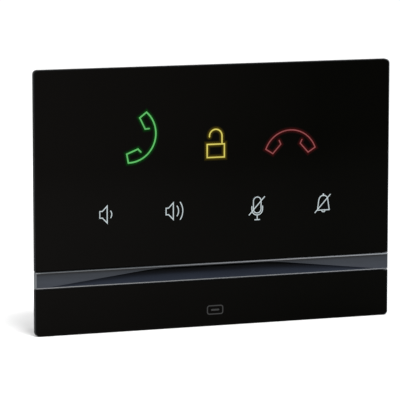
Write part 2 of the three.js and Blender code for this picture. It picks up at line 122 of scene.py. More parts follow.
def steps(ramp, *stops):
    """Sets a colour ramp's stops, each a place from 0 to 1 and a colour."""
    elements = ramp.color_ramp.elements
    while len(elements) < len(stops):
        elements.new(0.5)
    for element, (place, colour) in zip(elements, stops):
        element.position = place
        element.color = colour
    return ramp


# %% [markdown]
# ## Moulded plastic
# The housing is ABS, moulded in a tool whose walls were spark-eroded, so its skin is an even fine
# grain about a quarter of a millimetre across. What the eye gets is a soft, slightly broken
# highlight. Noise drives the bump, and a slower noise shifts colour and roughness a little,
# because no moulding is perfectly even.

# %% Moulded plastics
def moulded_plastic(name, colour, shade, roughness, grain=0.25, depth=0.02):
    """Plastic with a grain of that size and depth in millimetres, drifting from colour to shade."""
    material, tree, shader = new_material(name, colour, roughness, IOR=1.53)
    place = add(tree, "TexCoord").outputs["Object"]
    drift = add(tree, "TexNoise", {"Vector": place, "Scale": 1 / (14 * MM), "Detail": 3.0})
    tint = add(tree, "ValToRGB", {"Fac": drift.outputs["Fac"]})
    steps(tint, (0.35, linear(colour)), (0.65, linear(shade)))
    tree.links.new(tint.outputs["Color"], shader.inputs["Base Color"])
    skin = add(tree, "TexNoise", {"Vector": place, "Scale": 1 / (grain * MM), "Detail": 2.0})
    rough = add(tree, "MapRange", {"Value": skin.outputs["Fac"], "From Min": 0.3, "From Max": 0.7,
                                   "To Min": roughness - 0.06, "To Max": roughness + 0.08})
    tree.links.new(rough.outputs["Result"], shader.inputs["Roughness"])
    bump = add(tree, "Bump", {"Height": skin.outputs["Fac"], "Strength": 0.6,
                              "Distance": depth * MM})
    tree.links.new(bump.outputs["Normal"], shader.inputs["Normal"])
    return material


black_abs = moulded_plastic("black_ABS", "1c1c1d", "212122", 0.52)
white_abs = moulded_plastic("white_ABS", "e6e6e1", "dcdcd6", 0.45, grain=0.2)
grey_nylon = moulded_plastic("grey_nylon", "85898b", "787c7f", 0.48, grain=0.2)
orange_nylon = moulded_plastic("orange_nylon", "d46a18", "c85f12", 0.42, grain=0.2)
print("four moulded plastics")

# %% [markdown]
# ## Printed glass
# The front is 3 mm tempered glass with a black ceramic print fired onto its back, and a coating
# that kills most of the reflection, as display glass has. What the eye gets is a very deep,
# slightly warm black that only a lamp shows up as glass. The coating is a low specular level. The
# print is painted a trace lighter towards the left, as painted light. The ground side of the same
# glass is matt and nearly as dark as the face. Only the small round at its front is lighter, and
# only at the right: a painted highlight for light that travels in the glass and comes out there.

# %% Glass
def printed_glass():
    """Black print seen through coated glass, a trace warmer, and painted a trace lighter towards
    the left.
    """
    material, tree, shader = new_material("black_printed_glass", "060605", 0.06, IOR=1.52,
                                          Specular_IOR_Level=0.02)
    place = add(tree, "TexCoord").outputs["Object"]
    across = add(tree, "SeparateXYZ", {"Vector": place}).outputs["X"]
    half_width = cad_box[1].x
    # Painted light: the face is painted a trace lighter towards the left.
    drift = add(tree, "MapRange",
                {"Value": across, "From Min": -half_width, "From Max": half_width})
    cloud = add(tree, "TexNoise", {"Vector": place, "Scale": 1 / (60 * MM), "Detail": 1.0})
    faint = add(tree, "Math", {0: cloud.outputs["Fac"], 1: 0.3}, operation="MULTIPLY")
    both = add(tree, "Math", {0: drift.outputs["Result"], 1: faint.outputs["Value"]},
               operation="ADD")
    tint = add(tree, "ValToRGB", {"Fac": both.outputs["Value"]})
    steps(tint, (0.15, linear("080706")), (1.0, linear("010100")))
    tree.links.new(tint.outputs["Color"], shader.inputs["Base Color"])
    return material


def ground_glass(name, dark, right):
    """Ground glass, matt with 0.1 mm grit: one colour nearly all along, and a painted highlight at
    the right.
    """
    material, tree, shader = new_material(name, dark, 0.35, IOR=1.52, Specular_IOR_Level=0.02)
    place = add(tree, "TexCoord").outputs["Object"]
    grit = add(tree, "TexNoise", {"Vector": place, "Scale": 1 / (0.1 * MM), "Detail": 2.0})
    bump = add(tree, "Bump", {"Height": grit.outputs["Fac"], "Strength": 0.5,
                              "Distance": 0.01 * MM})
    tree.links.new(bump.outputs["Normal"], shader.inputs["Normal"])
    across = add(tree, "SeparateXYZ", {"Vector": place}).outputs["X"]
    half_width = cad_box[1].x
    share = add(tree, "MapRange",
                {"Value": across, "From Min": -half_width, "From Max": half_width})
    # Painted highlight: the colour at the right end stands in for light that comes out of the glass
    # there.
    tint = add(tree, "ValToRGB", {"Fac": share.outputs["Result"]})
    steps(tint, (0.985, linear(dark)), (0.998, linear(right)))
    tree.links.new(tint.outputs["Color"], shader.inputs["Base Color"])
    return material


glass_face = printed_glass()
# The ground side's painted highlight at the right is faint, the small round's is bright.
glass_side = ground_glass("ground_glass_side", "050606", "0c0d0d")
arris_painted_highlight = ground_glass("ground_glass_arris_painted_highlight", "0a0b0c", "707476")
print("glass face, ground side and ground arris")

# %% [markdown]
# ## Smoked acrylic
# The bar is cast acrylic with a smoke tint. Its flat front is satin, its scoop is polished, and its
# long chamfers and its two ends are polished too, so they pipe the light that enters the bar. Their
# fine pale lines are painted highlights, and a glow on the chamfers paints the piped light. The
# lines are painted uneven from end to end, as the piped light spreads unevenly along the bar. The
# satin front is painted darker just under the top chamfer, as painted shade. In the scoop the
# painted shade is deepest under the lip and goes towards navy at the shallow foot.

# %% Smoked acrylic
strip_low, strip_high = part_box("light_strip")


def gradient(tree, axis, low, high, *stops):
    """A colour that changes along one axis of the object, between two places in metres."""
    place = add(tree, "TexCoord").outputs["Object"]
    along = add(tree, "SeparateXYZ", {"Vector": place}).outputs[axis]
    share = add(tree, "MapRange", {"Value": along, "From Min": low, "From Max": high})
    ramp = add(tree, "ValToRGB", {"Fac": share.outputs["Result"]})
    return steps(ramp, *[(stop, linear(colour)) for stop, colour in stops]).outputs["Color"]


def acrylic(name, roughness, specular, streak_strength, axis, *stops):
    """Tinted acrylic with a gradient of painted light and shade along one axis and faint streaks, 3
    mm apart.
    """
    material, tree, shader = new_material(name, stops[0][1], roughness, IOR=1.49,
                                          Specular_IOR_Level=specular)
    low, high = getattr(strip_low, axis.lower()), getattr(strip_high, axis.lower())
    colour = gradient(tree, axis, low, high, *stops)
    place = add(tree, "TexCoord").outputs["Object"]
    stretched = add(tree, "Mapping", {"Vector": place, "Scale": (0.12, 1.0, 1.0)}).outputs["Vector"]
    streak = add(tree, "TexNoise", {"Vector": stretched, "Scale": 1 / (3 * MM), "Detail": 4.0})
    shade = add(tree, "MapRange", {"Value": streak.outputs["Fac"], "From Min": 0.3, "From Max": 0.7,
                                   "To Min": 1 - streak_strength, "To Max": 1 + streak_strength})
    # The gradient paints light and shade, and the streaks vary the tone at random.
    painted_light_and_streaks = add(tree, "VectorMath", {0: colour, "Scale": shade.outputs["Result"]},
                 operation="SCALE")
    tree.links.new(painted_light_and_streaks.outputs["Vector"], shader.inputs["Base Color"])
    return material, tree, shader, painted_light_and_streaks.outputs["Vector"]


print("smoked acrylic from", round(strip_low.z / MM, 1), "to", round(strip_high.z / MM, 1), "mm")

# %% [markdown]
# The satin front, the scoop and the two ends differ in polish, tint and painted light and shade.
# The long chamfers carry a painted highlight and a glow for light that travels inside the bar: the
# upper one is painted brighter steadily towards the right, while the lower one stays even.

# %% The bar's five finishes
# Painted shade: the satin front is painted darker towards the top, most just under the top chamfer.
satin_with_painted_shade = acrylic("smoked_acrylic_satin_painted_shade", 0.38, 0.22, 0.12, "Z",
                      (0.0, "282c34"), (0.45, "292d34"), (0.75, "23272d"), (0.9, "0c0e11"))[0]
# Painted shade: the scoop is painted nearly black under the lip, and lighter, towards navy, at its
# foot.
scoop_with_painted_shade = acrylic("smoked_acrylic_scoop_painted_shade", 0.2, 0.05, 0.1, "Z", (0.0, "21262f"),
                      (0.3, "1b1f28"), (0.42, "171b23"), (0.55, "0d0f15"), (0.7, "030405"))[0]
# Painted highlight: the polished ends are painted a pale grey for the light that they show.
end_painted_highlight = acrylic("acrylic_polished_end_painted_highlight", 0.25, 0.15, 0.05, "Z",
                    (0.0, "5c5f62"), (1.0, "585b5e"))[0]


def painted_highlight_line(name, *stops):
    """A polished chamfer, whose painted highlight and glow stand in for light travelling in the
    bar.
    """
    material, tree, shader, colour = acrylic(name, 0.25, 0.3, 0.06, "X", *stops)
    # Painted glow: the chamfer emits its painted colour, though it is no lamp.
    tree.links.new(colour, shader.inputs["Emission Color"])
    shader.inputs["Emission Strength"].default_value = 0.3
    return material


# Painted highlights: the upper line is painted brighter towards the right, the lower one evenly.
top_chamfer_painted_highlight = painted_highlight_line("acrylic_chamfer_top_painted_highlight", (0.0, "414447"), (0.3, "4b4e51"),
                            (0.5, "606265"), (0.75, "6c6e71"), (1.0, "767a7e"))
bottom_chamfer_painted_highlight = painted_highlight_line("acrylic_chamfer_bottom_painted_highlight", (0.0, "7c7d7f"), (0.5, "727476"),
                               (1.0, "74767a"))
print("five finishes for the bar")

# %% [markdown]
# ## Light windows
# A touch symbol is a clear window in the black print, and a coloured diode shines through it from
# the light box. The window itself is nearly colourless, so its colour is emitted light. It stays
# near the brightness of white paper: much stronger, and every colour would wash out to white.

# %% Light windows
DIMMEST = 0.82


def light_window(name, colour, strength=1.0, unlit="0b0b0b", roughness=0.3, specular=0.1):
    """A window lit from behind. Its light drifts a little over 6 mm, as over a real diffuser."""
    material, tree, shader = new_material(name, unlit, roughness, IOR=1.49,
                                          Specular_IOR_Level=specular)
    place = add(tree, "TexCoord").outputs["Object"]
    drift = add(tree, "TexNoise", {"Vector": place, "Scale": 1 / (6 * MM), "Detail": 1.0})
    tint = add(tree, "ValToRGB", {"Fac": drift.outputs["Fac"]})
    dim = [channel * DIMMEST for channel in linear(colour)[:3]] + [1.0]
    steps(tint, (0.3, dim), (0.7, linear(colour)))
    tree.links.new(tint.outputs["Color"], shader.inputs["Emission Color"])
    shader.inputs["Emission Strength"].default_value = strength
    return material


green_window = light_window("window_green", "5ec166")
yellow_window = light_window("window_yellow", "ded162")
red_window = light_window("window_red", "94484a")
white_window = light_window("window_cool_white", "c8d4d7")
# Painted light: the badge is grey print, and its grey is made to glow.
badge_print_painted_glow = light_window("print_grey_painted_glow", "4a4a4a", 0.6)
print("five light windows")

# %% [markdown]
# ## Halos
# Light also spreads sideways inside the glass, so a saturated colour has a faint halo. It falls off
# within a millimetre, and three narrow bands that get fainter are enough to show it. Each band is
# given by how much wider than the line it is, in millimetres, and by its share of the light. Each
# lies a few microns deeper than the last, so that no two of them share a plane.

# %% Halos
HALO_BANDS = ((1.0, 0.055), (1.6, 0.028), (2.3, 0.012))
HALO_SUNK = 0.002
HALO_STEP = 0.006


def halo(name, colour, strength=1.0):
    """The materials of a halo's bands, from the line outwards, with the black glass's polish."""
    return [light_window(name + "_" + str(number), colour, strength * share, "010101", 0.06, 0.02)
            for number, (_, share) in enumerate(HALO_BANDS, 1)]


green_halo = halo("halo_green", "28d83c")
yellow_halo = halo("halo_yellow", "e0c010", 1.5)
red_halo = halo("halo_red", "d02a22")
print("three halos of", len(HALO_BANDS), "bands")

# %% [markdown]
# ## Metals
# The wall plate and the board screws are zinc plated: a cool grey with fine rolling lines and soft
# cloudy patches. The socket's shell and the shield can are tinned sheet, brighter and smoother.
# The loudspeaker's basket and the housing screws are blackened steel. A metal's colour is its
# reflection, so the IOR stays at its default and the metallic value is one.

# %% Metals
def rolled_metal(name, colour, shade, roughness, line=0.4):
    """Sheet metal whose rolling lines, that many millimetres apart, run along X."""
    material, tree, shader = new_material(name, colour, roughness, Metallic=1.0)
    place = add(tree, "TexCoord").outputs["Object"]
    stretched = add(tree, "Mapping", {"Vector": place, "Scale": (0.04, 1.0, 1.0)}).outputs["Vector"]
    lines = add(tree, "TexNoise", {"Vector": stretched, "Scale": 1 / (line * MM), "Detail": 4.0})
    clouds = add(tree, "TexNoise", {"Vector": place, "Scale": 1 / (9 * MM), "Detail": 3.0})
    tint = add(tree, "ValToRGB", {"Fac": clouds.outputs["Fac"]})
    steps(tint, (0.35, linear(shade)), (0.65, linear(colour)))
    tree.links.new(tint.outputs["Color"], shader.inputs["Base Color"])
    rough = add(tree, "MapRange", {"Value": lines.outputs["Fac"], "From Min": 0.3, "From Max": 0.7,
                                   "To Min": roughness - 0.08, "To Max": roughness + 0.1})
    tree.links.new(rough.outputs["Result"], shader.inputs["Roughness"])
    bump = add(tree, "Bump", {"Height": lines.outputs["Fac"], "Strength": 0.3,
                              "Distance": 0.01 * MM})
    tree.links.new(bump.outputs["Normal"], shader.inputs["Normal"])
    return material


zinc = rolled_metal("zinc_plated_steel", "b3b7ba", "9da2a6", 0.36)
tin = rolled_metal("tinned_steel", "cdd0d2", "bcc0c3", 0.24)
black_steel = rolled_metal("blackened_steel", "434346", "343437", 0.42)
gold = rolled_metal("gold_plating", "e2b75c", "d0a24a", 0.22)
print("four metals")

# %% [markdown]
# ## Boards and small stuff
# A circuit board is green solder mask over copper: the mask is a little lighter where a track runs
# under it. A Voronoi texture measured in city blocks gives edges that turn at right angles, which
# is what tracks do. The rest are plain technical surfaces, and each differs in how its colour
# drifts and how rough it is, so one function with named settings makes them.

# %% Boards and small stuff
def solder_mask():
    """Green mask with tracks about 2.5 mm apart."""
    material, tree, shader = new_material("green_solder_mask", "1d5638", 0.3, IOR=1.55)
    place = add(tree, "TexCoord").outputs["Object"]
    cell = {"Vector": place, "Scale": 1 / (2.5 * MM)}
    second = add(tree, "TexVoronoi", cell, feature="F2", distance="MANHATTAN")
    nearest = add(tree, "TexVoronoi", cell, distance="MANHATTAN")
    between = add(tree, "Math", {0: second.outputs["Distance"], 1: nearest.outputs["Distance"]},
                  operation="SUBTRACT")
    tint = add(tree, "ValToRGB", {"Fac": between.outputs["Value"]})
    steps(tint, (0.04, linear("2f7a50")), (0.1, linear("184b30")))
    tree.links.new(tint.outputs["Color"], shader.inputs["Base Color"])
    bump = add(tree, "Bump", {"Height": between.outputs["Value"], "Strength": 0.2,
                              "Distance": 0.03 * MM})
    tree.links.new(bump.outputs["Normal"], shader.inputs["Normal"])
    return material


def mottled(name, colour, shade, roughness, patch, ior=1.5):
    """A surface that drifts between two colours in patches of that many millimetres."""
    material, tree, shader = new_material(name, colour, roughness, IOR=ior)
    place = add(tree, "TexCoord").outputs["Object"]
    noise = add(tree, "TexNoise", {"Vector": place, "Scale": 1 / (patch * MM), "Detail": 4.0})
    tint = add(tree, "ValToRGB", {"Fac": noise.outputs["Fac"]})
    steps(tint, (0.35, linear(colour)), (0.65, linear(shade)))
    tree.links.new(tint.outputs["Color"], shader.inputs["Base Color"])
    bump = add(tree, "Bump", {"Height": noise.outputs["Fac"], "Strength": 0.4,
                              "Distance": 0.05 * patch * MM})
    tree.links.new(bump.outputs["Normal"], shader.inputs["Normal"])
    return material


print("solder mask and the mottled surfaces")

# %% [markdown]
# Each subcomponent names the slot that its finish comes from. This table gives every slot its
# material, and the mottled ones get the size of their patches from the real thing: the cells of a
# foam, the fibres of pressed paper, the grains of ferrite.

# %% A finish for every slot
slot_material = {
    "black_glass": glass_face,
    "smoked_acrylic": satin_with_painted_shade,
    "black_plastic": black_abs,
    "white_plastic": white_abs,
    "grey_plastic": grey_nylon,
    "orange_plastic": orange_nylon,
    "galvanised_steel": zinc,
    "tin_plate": tin,
    "black_steel": black_steel,
    "circuit_board": solder_mask(),
    "foam_tape": mottled("closed_cell_foam", "1f1f20", "29292a", 0.9, 0.3),
    "electrode_film": mottled("printed_silver_film", "b08a58", "a07c4e", 0.45, 1.2, ior=1.58),
    "opal_film": mottled("opal_polyester_film", "f0f0ec", "e6e6e0", 0.6, 3.0, ior=1.58),
    "led_package": mottled("diode_resin", "f1e6b4", "e8d894", 0.3, 1.0),
    "clear_acrylic": mottled("clear_acrylic", "cfd6da", "dde3e6", 0.12, 5.0, ior=1.49),
    "paper_cone": mottled("pressed_paper_pulp", "262626", "313130", 0.85, 0.5),
    "rubber": mottled("moulded_nitrile_rubber", "141414", "1c1c1c", 0.8, 0.4, ior=1.52),
    "ferrite": mottled("sintered_ferrite", "38383a", "2c2c2e", 0.6, 0.5, ior=2.0),
    "capacitor_sleeve": mottled("capacitor_sleeve", "22304e", "1c2740", 0.3, 2.0),
}

# %% [markdown]
# ## From points to a piece
# Most new pieces here are lofts: a closed mesh through a row of rings that all have the same number
# of points, with a cap at each end. A glass plate is a loft of rounded rectangles, and a bar is a
# loft of its section. Coinciding points are merged after that, so a section may have spare points
# where it is plain. Every piece then rides on the CAD body that it moves with.

# %% Lofts and pieces
MERGE = 0.002 * MM


def loft(name, rings, finish_of=None, cap_finish=0):
    """A closed mesh through rings of points. finish_of gives a side face's material number."""
    build = bmesh.new()
    loops = [[build.verts.new(point) for point in ring] for ring in rings]
    for step, (here, there) in enumerate(zip(loops, loops[1:])):
        for i in range(len(here)):
            j = (i + 1) % len(here)
            face = build.faces.new((here[i], here[j], there[j], there[i]))
            if finish_of:
                face.material_index = finish_of(step, i)
    for loop in (loops[0], loops[-1]):
        build.faces.new(loop).material_index = cap_finish
    bmesh.ops.remove_doubles(build, verts=build.verts, dist=MERGE)
    bmesh.ops.dissolve_degenerate(build, edges=build.edges, dist=MERGE / 2)
    bmesh.ops.recalc_face_normals(build, faces=build.faces)
    mesh = bpy.data.meshes.new(name)
    build.to_mesh(mesh)
    build.free()
    return mesh


def piece(name, mesh, body, slot, *materials):
    """An object for this mesh with these materials, which rides on a body. The slot is not used."""
    made = bpy.data.objects.new(name, mesh)
    bpy.context.scene.collection.objects.link(made)
    for material in materials:
        mesh.materials.append(material)
    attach(made, body)
    return made


def smooth(mesh, degrees):
    """Smooth shading, with a crisp line wherever two faces meet at more than that angle."""
    mesh.shade_smooth()
    mesh.set_sharp_from_angle(angle=math.radians(degrees))
    return mesh


print("helpers for lofts and pieces")

# %% [markdown]
# ## Glass plates
# A glass plate is cut, its edges are ground to a small round, and then it is tempered. On the real
# thing that round is what catches the light at the rim, so it is modelled: the outline shrinks in
# four steps over the last 0.4 mm of the depth. The outer corners have a 2 mm radius. At the seam
# with the bar the corners are only knocked off. The face, the ground side and the small round
# each have a material. The face lies a trace behind the front plane, which the symbols reach.

# %% Two glass plates
ARRIS = 0.4 * MM
ARRIS_STEPS = 4
OUTER_CORNER = 2.0
SEAM_CORNER = 0.25
SYMBOLS_PROUD = 0.03 * MM
front, glass_back = (corner.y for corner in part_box("upper_glass"))
glass_front = front + SYMBOLS_PROUD


def rounded_rectangle(low, high, bottom_radius, top_radius, inset, y, sides=6):
    """Points in X and Z round a rectangle that has shrunk by the inset, at depth y."""
    points = []
    corners = [(high.x, low.z, bottom_radius, -90), (high.x, high.z, top_radius, 0),
               (low.x, high.z, top_radius, 90), (low.x, low.z, bottom_radius, 180)]
    middle = (low + high) / 2
    for x, z, radius, start in corners:
        centre_x = x - math.copysign(radius, x - middle.x)
        centre_z = z - math.copysign(radius, z - middle.z)
        for step in range(sides + 1):
            turn = math.radians(start + 90 * step / sides)
            points.append((centre_x + (radius - inset) * math.cos(turn), y,
                           centre_z + (radius - inset) * math.sin(turn)))
    return points


def glass_plate(node, bottom_radius, top_radius):
    """The plate that stands for a CAD glass: printed on its faces, and ground all round."""
    low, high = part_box(node)
    levels = [(glass_back, 0.0)]
    for step in range(ARRIS_STEPS + 1):
        turn = math.radians(90 * step / ARRIS_STEPS)
        levels.append((glass_front + ARRIS * (1 - math.sin(turn)), ARRIS * (1 - math.cos(turn))))
    rings = [rounded_rectangle(low, high, bottom_radius * MM, top_radius * MM, inset, y)
             for y, inset in levels]
    mesh = loft(node + "_plate", rings, lambda step, side: 1 if step == 0 else 2)
    plate = piece(node + "_plate", smooth(mesh, 40), "unit", "black_glass", glass_face, glass_side,
                  arris_painted_highlight)
    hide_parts(node)
    return plate


upper_plate = glass_plate("upper_glass", SEAM_CORNER, OUTER_CORNER)
lower_plate = glass_plate("lower_glass", OUTER_CORNER, SEAM_CORNER)
print("glass plates with", len(upper_plate.data.polygons), "and", len(lower_plate.data.polygons),
      "faces")

# %% [markdown]
# ## The bar and its scoop
# The bar is one machined piece. Its scoop is a ramp that starts flush at the bottom edge and sinks
# 2.2 mm towards the top, between two long slanting sides and under a flush lip. The sound comes out
# of a slot at the deepest place. A boolean cut would leave long thin triangles, so the bar is
# lofted along its length instead: each section works out how high the scoop reaches at its place.
# Spare points of the section fold together where there is no scoop or no slot.

# %% The bar
CHAMFER = 0.5 * MM
SCOOP_DEPTH = 2.2 * MM
SCOOP_HALF_TOP = 28 * MM
SCOOP_HALF_BOTTOM = 84 * MM
SCOOP_ROUND = 8 * MM
LIP = 0.9 * MM
SLOT_HALF_WIDTH = 20 * MM
SLOT_HEIGHT = 1.0 * MM
BEHIND_SLOT = 0.6 * MM
TONGUE_HALF_WIDTH = 66 * MM
TONGUE_SHOULDER = 0.01 * MM
bottom, top = strip_low.z, strip_high.z
lip = top - LIP
foot = bottom + CHAMFER
slope = (lip - bottom) / (SCOOP_HALF_BOTTOM - SCOOP_HALF_TOP)


def scoop_top(x):
    """How high the scoop reaches at x: level at the lip, then round, then straight down."""
    past = abs(x) - (SCOOP_HALF_TOP - SCOOP_ROUND)
    if past <= 0:
        return lip
    if past < 2 * SCOOP_ROUND:
        return lip - slope * past ** 2 / (4 * SCOOP_ROUND)
    return lip - slope * (abs(x) - SCOOP_HALF_TOP)


def ramp(x, z):
    """How deep the front lies at height z."""
    depth = SCOOP_DEPTH * (z - bottom) / (lip - bottom) if scoop_top(x) > foot else 0.0
    return front + depth


def bar_section(x, slotted, shrink=0.0):
    """The bar's section at x, from the bottom edge up the front, then down the back."""
    reach = max(scoop_top(x), foot)
    under_slot = min(lip - SLOT_HEIGHT, reach)
    deep = strip_high.y - BEHIND_SLOT
    back = strip_high.y if abs(x) <= TONGUE_HALF_WIDTH else glass_back
    section = [(front + CHAMFER, bottom), (ramp(x, foot), foot), (ramp(x, under_slot), under_slot),
               (deep if slotted else ramp(x, under_slot), under_slot),
               (deep if slotted else ramp(x, reach), reach),
               (ramp(x, reach), reach), (front, reach), (front, top - CHAMFER),
               (front + CHAMFER, top), (back, top), (back, bottom)]
    return [(x, max(y, front + shrink), z) for y, z in section]


print("scoop", round(SCOOP_DEPTH / MM, 1), "mm deep, its sides fall", round(slope, 3), "in 1")

# %% [markdown]
# The loft needs a section every 2 mm, and more at the chamfered ends and at the shoulders of the
# tongue on its back. Where the slot starts and stops there are two sections at one place, one with
# the slot and one without, so that its ends are square.

# %% The bar, section by section
half = strip_high.x
stations = [-half, -half + 0.25 * CHAMFER, -half + CHAMFER]
stations += [-TONGUE_HALF_WIDTH - TONGUE_SHOULDER, -TONGUE_HALF_WIDTH]
stations += [x * MM for x in range(-82, 83, 2)]
stations += [TONGUE_HALF_WIDTH, TONGUE_HALF_WIDTH + TONGUE_SHOULDER]
stations += [half - CHAMFER, half - 0.25 * CHAMFER, half]
shrinks = {half: CHAMFER, half - 0.25 * CHAMFER: 0.35 * CHAMFER}
sections = []
for x in sorted(set(stations)):
    if abs(abs(x) - SLOT_HALF_WIDTH) < 0.1 * MM:
        sections += [bar_section(x, x > 0), bar_section(x, x < 0)]
    else:
        sections.append(bar_section(x, abs(x) < SLOT_HALF_WIDTH, shrinks.get(abs(x), 0.0)))

BAR_FINISH = {0: 2, 1: 1, 2: 1, 3: 1, 4: 1, 5: 1, 6: 0, 7: 3}
last_step = len(sections) - 2


def bar_finish(step, side):
    """The finish of one strip of the bar: its ends are polished, its front has several."""
    return 4 if step in (0, 1, last_step - 1, last_step) else BAR_FINISH.get(side, 0)


bar_mesh = loft("light_bar", sections, bar_finish, cap_finish=4)
light_bar = piece("light_bar", smooth(bar_mesh, 25), "unit", "smoked_acrylic", satin_with_painted_shade,
                  scoop_with_painted_shade, bottom_chamfer_painted_highlight, top_chamfer_painted_highlight, end_painted_highlight)
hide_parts("light_strip")
print("bar of", len(sections), "sections")

# %% [markdown]
# ## Touch symbols
# The symbols are drawn with a round pen, and their corners are mitred. Each is a thin window in the
# print, so it is made as a solid 0.06 mm thick that lies in the face of the glass. A stroke is a
# chain of points. For each point the two edge points lie on the mitre of its two segments, and a
# free end gets a half circle. A very sharp corner would send its mitre far out, so that is limited.

# %% A pen for symbols
WINDOW_DEPTH = 0.06 * MM
SHARPEST_MITRE = 0.35
CAP_SIDES = 6


def stroke(build, points, width, closed=False, sunk=0.0):
    """Adds a flat solid line of that width through points (x, z), all in millimetres."""
    path = [Vector(point) for point in points]
    count = len(path)
    left, right = [], []
    for i, here in enumerate(path):
        before = path[i - 1] if closed or i > 0 else None
        after = path[(i + 1) % count] if closed or i < count - 1 else None
        arrive = (here - before).normalized() if before else (after - here).normalized()
        leave = (after - here).normalized() if after else arrive
        normal_in = Vector((-arrive.y, arrive.x))
        normal_out = Vector((-leave.y, leave.x))
        mitre = (normal_in + normal_out).normalized()
        reach = width / 2 / max(mitre.dot(normal_in), SHARPEST_MITRE)
        left.append(here + mitre * reach)
        right.append(here - mitre * reach)
    if closed:
        outlines = [(left[i], left[(i + 1) % count], right[(i + 1) % count], right[i])
                    for i in range(count)]
    else:
        outlines = [(left[i], left[i + 1], right[i + 1], right[i]) for i in range(count - 1)]
        for end, edge in ((path[0], left[0]), (path[-1], right[-1])):
            turns = [math.radians(180 / CAP_SIDES * step) for step in range(CAP_SIDES + 1)]
            outlines.append([end + Matrix.Rotation(turn, 2) @ (edge - end) for turn in turns])
    for outline in outlines:
        face = [build.verts.new((p.x * MM, front + sunk * MM, p.y * MM)) for p in outline]
        back = [build.verts.new((p.x * MM, front + WINDOW_DEPTH, p.y * MM)) for p in outline]
        build.faces.new(face)
        build.faces.new(back)
        for i in range(len(face)):
            j = (i + 1) % len(face)
            build.faces.new((face[i], face[j], back[j], back[i]))


print("symbol windows are", WINDOW_DEPTH / MM, "mm thick")

# %% [markdown]
# A symbol is a list of strokes, and most of them need arcs. Strokes are joined into one piece, and
# the inner walls between their parts are taken out, so that the light has nothing to catch on.

# %% Arcs and whole symbols
def arc(centre, radius, start, end, sides=12):
    """Points on a circle from one angle to another, in degrees."""
    turns = [math.radians(start + (end - start) * step / sides) for step in range(sides + 1)]
    return [(centre[0] + radius * math.cos(turn), centre[1] + radius * math.sin(turn))
            for turn in turns]


def drawing(name, material, strokes, wider=0.0, sunk=0.0):
    """A piece made of strokes. Inner walls where two parts of a stroke touch are taken out."""
    build = bmesh.new()
    for points, width, closed in strokes:
        stroke(build, points, width + wider, closed, sunk)
    bmesh.ops.remove_doubles(build, verts=build.verts, dist=0.001 * MM)
    doubled = {}
    for face in build.faces:
        doubled.setdefault(frozenset(face.verts), []).append(face)
    inner = [face for faces in doubled.values() if len(faces) > 1 for face in faces]
    bmesh.ops.delete(build, geom=inner, context="FACES_ONLY")
    bmesh.ops.recalc_face_normals(build, faces=build.faces)
    mesh = bpy.data.meshes.new(name)
    build.to_mesh(mesh)
    build.free()
    return piece(name, mesh, "unit", "black_glass", material)


def symbol(name, material, *strokes, halo_bands=()):
    """A symbol's window, and behind it the bands of its halo, each deeper than the last."""
    drawing(name, material, strokes)
    for number, (band, (wider, _)) in enumerate(zip(halo_bands, HALO_BANDS), 1):
        drawing(name + "_halo_" + str(number), band, strokes, wider, HALO_SUNK + HALO_STEP * number)


print("arcs of", len(arc((0, 0), 1, 0, 90)), "points by default")

# %% [markdown]
# ## The three large symbols
# Answer and hang up are the same handset outline, seen from its side: an ear piece, a long round
# back and a mouth piece. Only half of it needs drawing, because the other half is its mirror image.
# Hang up lies flat, and answer is turned by 111 degrees and a little bolder. Between them is an
# open padlock.

# %% Answer, hang up and unlock
BOLD, MIDDLING, LIGHT = 0.7, 0.62, 0.52


def handset(centre, turn):
    """The handset's outline round its own arc centre, turned by that many degrees."""
    half_outline = [(5.55, 8.2), (4.75, 6.5), (8.6, 2.3)]
    back = arc((0, 0), 12.8, 20.2, 159.8, sides=28)
    outline = half_outline + back + [(-x, z) for x, z in reversed(half_outline)]
    spin = Matrix.Rotation(math.radians(turn), 2)
    return [tuple(Vector(centre) + spin @ Vector(point)) for point in outline]


symbol("symbol_answer", green_window, (handset((-41.3, 29.6), -111), BOLD, False),
       halo_bands=green_halo)
symbol("symbol_hang_up", red_window, (handset((36.2, 15.8), 0), LIGHT, False), halo_bands=red_halo)
lock_body = [(-4.1, 17.6), (4.15, 17.6), (4.15, 23.55), (-4.1, 23.55)]
shackle = [(3.0, 23.55), (3.0, 27.3)] + arc((0, 27.3), 3.0, 0, 180)[1:] + [(-3.0, 27.0)]
symbol("symbol_unlock", yellow_window, (lock_body, MIDDLING, True), (shackle, MIDDLING, False),
       halo_bands=yellow_halo)
print("three large symbols")

# %% [markdown]
# ## The four small symbols
# The lower row is in cool white with a finer pen: two loudspeakers for quieter and louder, a struck
# out microphone, and a struck out bell. The waves in front of a loudspeaker are arcs, each given by
# its half height and how far it bulges. Low on the front is a plain badge: a frame and one bar. Its
# grey print is painted light: it glows faintly instead of being lit.

# %% Quieter, louder and the two mutes
FINE = 0.45
ROW = -5.95


def speaker(x):
    """A loudspeaker's outline whose mouth is at x."""
    return [(x - 3.45, ROW + 1.5), (x - 3.45, ROW - 1.5), (x - 2.25, ROW - 1.5), (x, ROW - 3.8),
            (x, ROW + 3.8), (x - 2.25, ROW + 1.5)]


def wave(x, half_height, bulge):
    """An arc to the right of a loudspeaker, whose ends are at x."""
    radius = (half_height ** 2 + bulge ** 2) / (2 * bulge)
    spread = math.degrees(math.asin(half_height / radius))
    return arc((x + bulge - radius, ROW), radius, -spread, spread)


